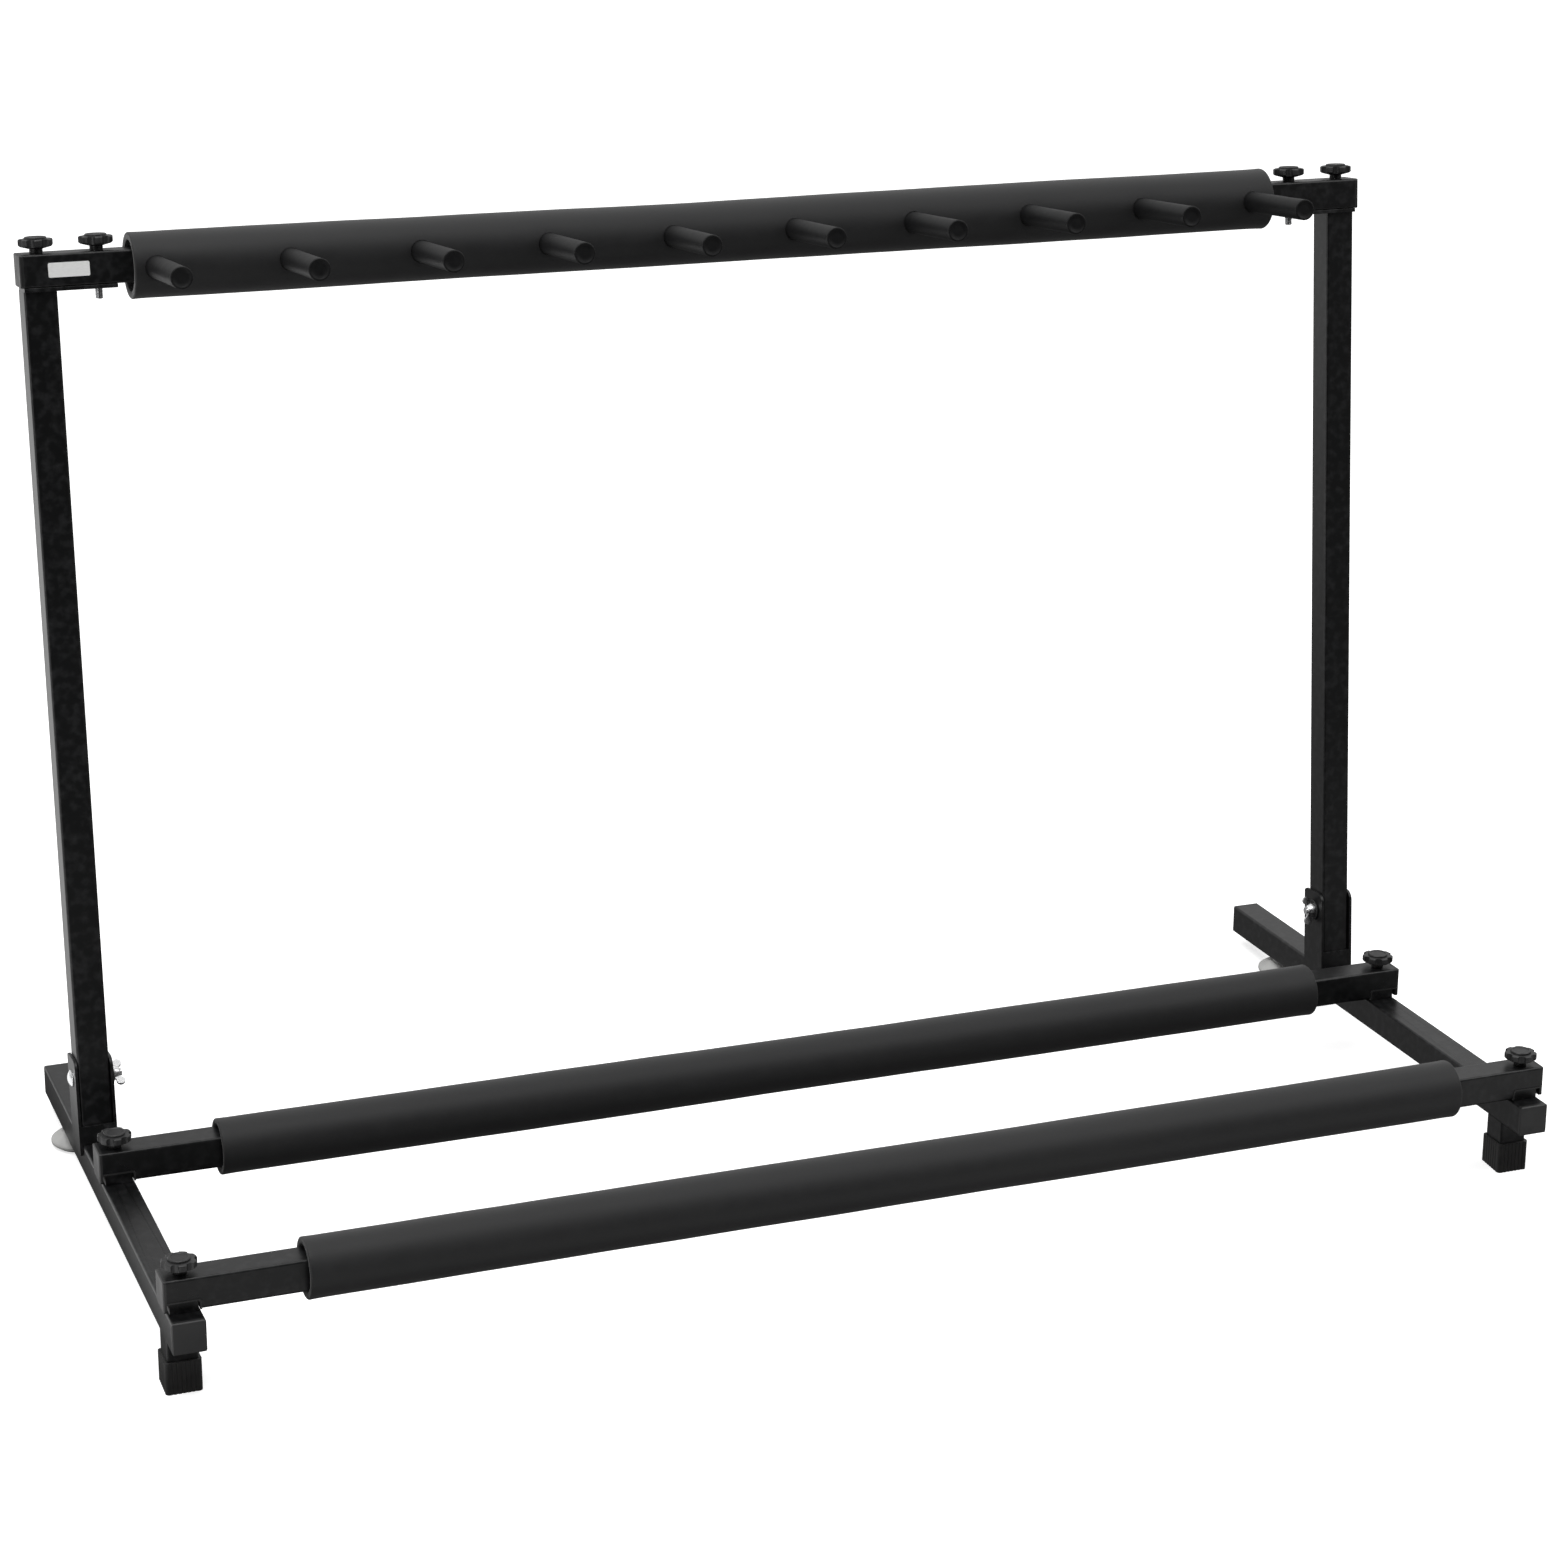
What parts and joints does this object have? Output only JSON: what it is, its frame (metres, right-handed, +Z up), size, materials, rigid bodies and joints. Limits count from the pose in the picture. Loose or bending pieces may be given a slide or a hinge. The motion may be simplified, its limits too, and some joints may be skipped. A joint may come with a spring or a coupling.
{
  "type": "guitar rack",
  "caption": "Folding floor rack for guitars: padded cross bars on side rails, and a padded neck bar with pegs on uprights that fold forward.",
  "frame": {"origin": "centre of the footprint, on the floor", "axes": "+X to the rack's right as seen from the front, +Y to the back, +Z up"},
  "size_m": [1.142, 0.5004, 0.7462],
  "materials": {
    "black_steel": "satin",
    "black_plastic": "satin",
    "black_rubber": "matte",
    "foam": "matte",
    "zinc_plated": "gloss",
    "grey_plastic": "satin",
    "white_label": "satin"
  },
  "bodies": {
    "base": {"rail_left": "black_steel", "rail_right": "black_steel", "rail_plugs": "black_plastic", "front_leg_left": "black_steel", "front_leg_right": "black_steel", "front_foot_left": "black_rubber", "front_foot_right": "black_rubber", "rear_foot_left": "grey_plastic", "rear_foot_right": "grey_plastic", "rear_foot_pads": "black_rubber", "rear_foot_screws": "zinc_plated", "pivot_bracket_left": "black_steel", "pivot_bracket_right": "black_steel", "pivot_bolt_left": "zinc_plated", "pivot_bolt_right": "zinc_plated", "pivot_washers": "black_plastic", "bar_seats": "black_steel", "front_bar": "black_steel", "rear_bar": "black_steel", "front_bar_caps": "black_plastic", "rear_bar_caps": "black_plastic", "front_bar_pad": "foam", "rear_bar_pad": "foam"},
    "mast": {"upright_left": "black_steel", "upright_right": "black_steel", "top_plate_left": "black_steel", "top_plate_right": "black_steel", "neck_bar": "black_steel", "neck_bar_plugs": "black_plastic", "neck_bar_pad": "foam", "peg_rods": "black_steel", "peg_sleeve_1": "foam", "peg_sleeve_2": "foam", "peg_sleeve_3": "foam", "peg_sleeve_4": "foam", "peg_sleeve_5": "foam", "peg_sleeve_6": "foam", "peg_sleeve_7": "foam", "peg_sleeve_8": "foam", "peg_sleeve_9": "foam", "peg_sleeve_10": "foam", "blank_label": "white_label"},
    "wing_nut_left": {"wing_nut_left": "zinc_plated"},
    "wing_nut_right": {"wing_nut_right": "zinc_plated"},
    "knob_front_left": {"knob_front_left": "black_plastic", "screw_front_left": "zinc_plated"},
    "knob_front_right": {"knob_front_right": "black_plastic", "screw_front_right": "zinc_plated"},
    "knob_rear_left": {"knob_rear_left": "black_plastic", "screw_rear_left": "zinc_plated"},
    "knob_rear_right": {"knob_rear_right": "black_plastic", "screw_rear_right": "zinc_plated"},
    "knob_top_outer_left": {"knob_top_outer_left": "black_plastic", "screw_top_outer_left": "zinc_plated"},
    "knob_top_inner_left": {"knob_top_inner_left": "black_plastic", "screw_top_inner_left": "zinc_plated"},
    "knob_top_inner_right": {"knob_top_inner_right": "black_plastic", "screw_top_inner_right": "zinc_plated"},
    "knob_top_outer_right": {"knob_top_outer_right": "black_plastic", "screw_top_outer_right": "zinc_plated"}
  },
  "joints": [
    {"name": "mast_fold", "type": "hinge", "parent": "base", "child": "mast", "pos_m": [0, 0.10111, 0.09584], "axis": [1, 0, 0], "range_deg": [0, 93]},
    {"name": "wing_nut_left_turn", "type": "hinge", "parent": "base", "child": "wing_nut_left", "pos_m": [-0.5334, 0.10111, 0.09584], "axis": [1, 0, 0], "continuous": true},
    {"name": "wing_nut_right_turn", "type": "hinge", "parent": "base", "child": "wing_nut_right", "pos_m": [0.5334, 0.10111, 0.09584], "axis": [1, 0, 0], "continuous": true},
    {"name": "knob_front_left_turn", "type": "hinge", "parent": "base", "child": "knob_front_left", "pos_m": [-0.55, -0.22121, 0.09524], "axis": [0, 0.0695, 0.9976], "continuous": true},
    {"name": "knob_front_right_turn", "type": "hinge", "parent": "base", "child": "knob_front_right", "pos_m": [0.55, -0.22121, 0.09524], "axis": [0, 0.0695, 0.9976], "continuous": true},
    {"name": "knob_rear_left_turn", "type": "hinge", "parent": "base", "child": "knob_rear_left", "pos_m": [-0.55, 0.01073, 0.07908], "axis": [0, 0.0695, 0.9976], "continuous": true},
    {"name": "knob_rear_right_turn", "type": "hinge", "parent": "base", "child": "knob_rear_right", "pos_m": [0.55, 0.01073, 0.07908], "axis": [0, 0.0695, 0.9976], "continuous": true},
    {"name": "knob_top_outer_left_turn", "type": "hinge", "parent": "mast", "child": "knob_top_outer_left", "pos_m": [-0.55, 0.19832, 0.73298], "axis": [0, 0.1562, 0.9877], "continuous": true},
    {"name": "knob_top_inner_left_turn", "type": "hinge", "parent": "mast", "child": "knob_top_inner_left", "pos_m": [-0.505, 0.19832, 0.73298], "axis": [0, 0.1562, 0.9877], "continuous": true},
    {"name": "knob_top_inner_right_turn", "type": "hinge", "parent": "mast", "child": "knob_top_inner_right", "pos_m": [0.505, 0.19832, 0.73298], "axis": [0, 0.1562, 0.9877], "continuous": true},
    {"name": "knob_top_outer_right_turn", "type": "hinge", "parent": "mast", "child": "knob_top_outer_right", "pos_m": [0.55, 0.19832, 0.73298], "axis": [0, 0.1562, 0.9877], "continuous": true}
  ]
}
